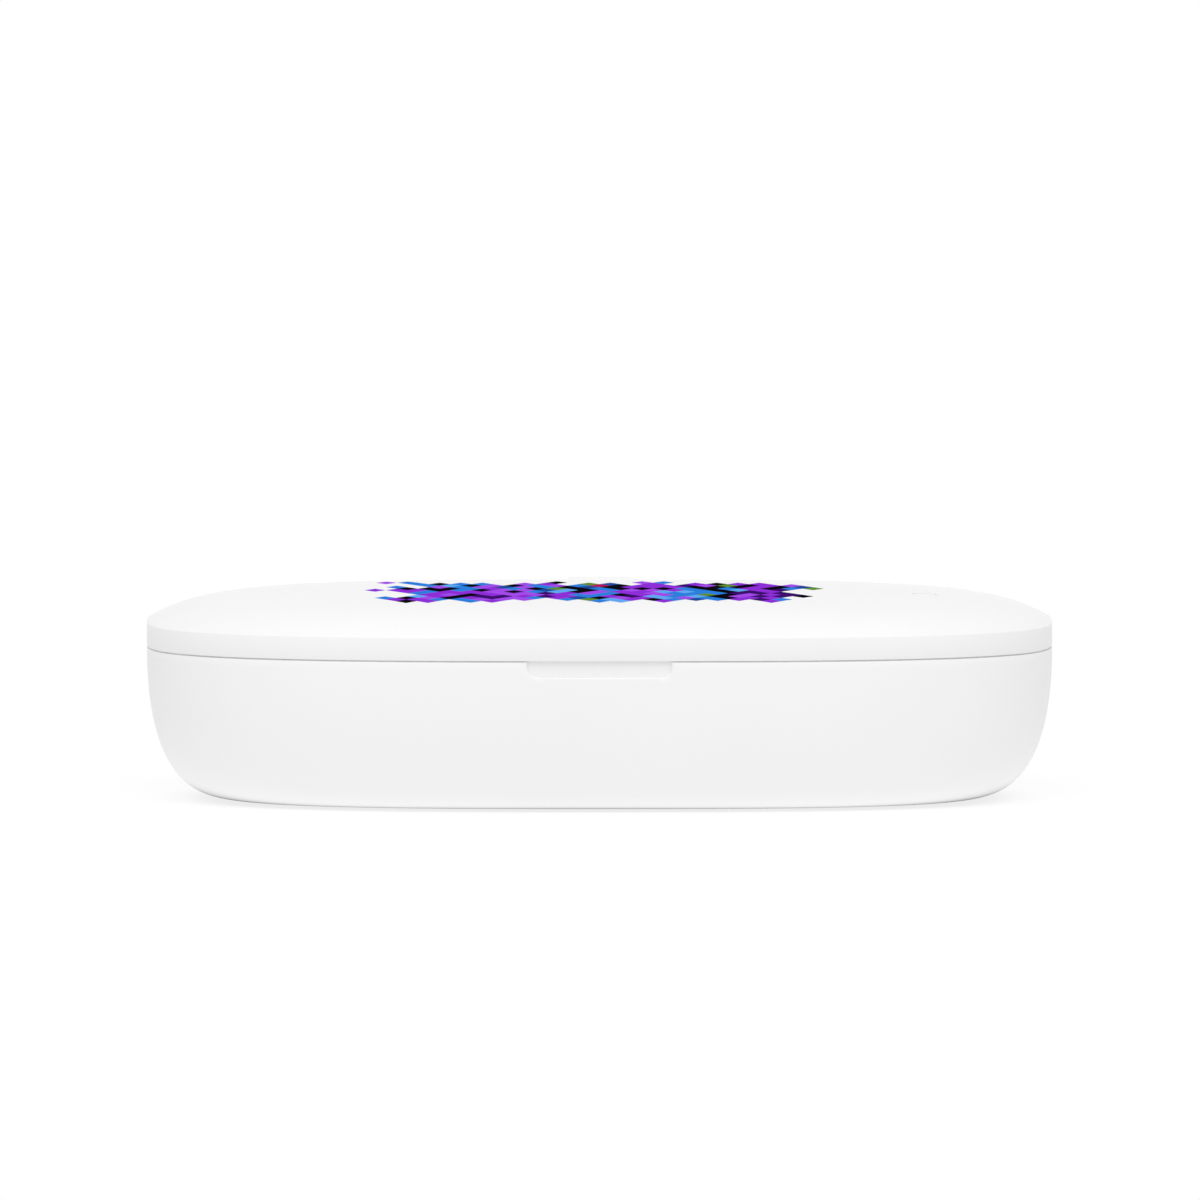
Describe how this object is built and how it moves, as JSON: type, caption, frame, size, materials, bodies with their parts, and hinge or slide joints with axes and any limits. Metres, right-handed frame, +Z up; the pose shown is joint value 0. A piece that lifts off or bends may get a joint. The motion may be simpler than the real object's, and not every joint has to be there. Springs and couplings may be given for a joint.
{
  "type": "uv sanitizer box for phones",
  "caption": "Rounded white box with a hinged lid, a mirrored chamber for a phone with UV-C lamps above and below, and a small round power key on the lid.",
  "frame": {"origin": "on the surface that the box stands on, under the middle of its bounding box", "axes": "+X to the box's right along its longest side, -Y out of its front, +Z up; the lid's hinge runs along X at the back"},
  "size_m": [0.22, 0.132, 0.0501],
  "materials": {
    "white_shell": "white ABS, fine satin moulding",
    "inner_plastic": "light grey ABS, satin",
    "reflector": "polished aluminium sheet",
    "clear_plastic": "clear acrylic, polished",
    "quartz": "quartz glass, polished",
    "circuit_board": "green solder mask",
    "lamp_ceramic": "pale ceramic",
    "dark_parts": "black moulded epoxy",
    "steel": "stainless steel, satin",
    "magnet_nickel": "nickel plate",
    "foot_rubber": "light grey rubber, matt",
    "silicone": "pale grey silicone, satin",
    "copper": "enamelled copper wire",
    "lead_sleeve": "dark sleeve, matt"
  },
  "bodies": {
    "base": {"base_shell": "white_shell", "base_liner": "inner_plastic", "base_reflector": "reflector", "phone_rest": "clear_plastic", "base_windows": "quartz", "base_led_board": "circuit_board", "base_uv_leds": "lamp_ceramic", "main_board": "circuit_board", "board_parts": "dark_parts", "usb_socket": "steel", "usb_tongue": "dark_parts", "base_magnets": "magnet_nickel", "base_screws": "steel", "board_screws": "steel", "feet": "foot_rubber", "rim_gasket": "silicone", "hinge_tube": "steel", "hinge_lead_base": "lead_sleeve"},
    "lid": {"lid_shell": "white_shell", "lid_liner": "inner_plastic", "lid_reflector": "reflector", "lid_windows": "quartz", "lid_led_board": "circuit_board", "lid_uv_leds": "lamp_ceramic", "coil_carrier": "inner_plastic", "charging_coil": "copper", "ferrite_sheet": "dark_parts", "control_board": "circuit_board", "control_parts": "dark_parts", "tact_switch": "dark_parts", "lid_magnets": "magnet_nickel", "lid_screws": "steel", "lid_board_screws": "steel", "hinge_lead_lid": "lead_sleeve"},
    "power_key": {"power_button": "white_shell", "switch_plunger": "steel"}
  },
  "joints": [
    {"name": "lid_hinge", "type": "hinge", "parent": "base", "child": "lid", "pos_m": [0, 0.06, 0.0431], "axis": [-1, 0, 0], "range_deg": [0, 105]},
    {"name": "power_key_press", "type": "slide", "parent": "lid", "child": "power_key", "axis": [0, 0, -1], "range_m": [0, 0.0005], "stiffness_N_per_m": 800}
  ]
}
